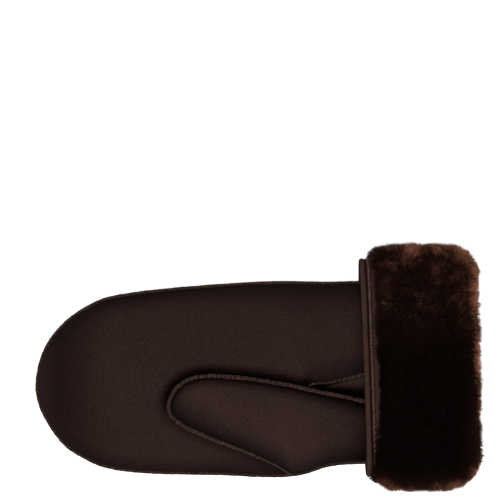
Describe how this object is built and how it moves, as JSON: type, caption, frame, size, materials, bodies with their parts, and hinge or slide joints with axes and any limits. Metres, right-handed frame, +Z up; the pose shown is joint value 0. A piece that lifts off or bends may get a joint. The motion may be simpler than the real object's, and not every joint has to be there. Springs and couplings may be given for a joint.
{
  "type": "leather mitten",
  "caption": "Left-hand shearling mitten in dark brown leather, palm up, with a sewn-on thumb, proud seams and a turned-back fleece cuff.",
  "frame": {"origin": "middle of the bounding box in plan, on the table the mitten rests on", "axes": "+X from the fingertip to the mouth, +Y from the thumb's side to the little finger's side, +Z up out of the palm"},
  "size_m": [0.2928, 0.1632, 0.0588],
  "materials": {
    "leather": "soft grain, low sheen",
    "seam_edge": "raw suede edge",
    "fleece": "deep clumped wool pile"
  },
  "bodies": {
    "root": {"palm_panel": "leather", "back_panel_little_finger_side": "leather", "back_panel_thumb_side": "leather", "side_seam_welt": "seam_edge", "back_seam_welt": "seam_edge", "thumb_upper_panel": "leather", "thumb_under_panel": "leather", "thumb_seam_welt": "seam_edge", "gusset_seam_welt": "seam_edge", "cuff_turnback": "leather", "cuff_fleece": "fleece", "cuff_piping": "leather", "cuff_facing": "leather"}
  },
  "joints": []
}
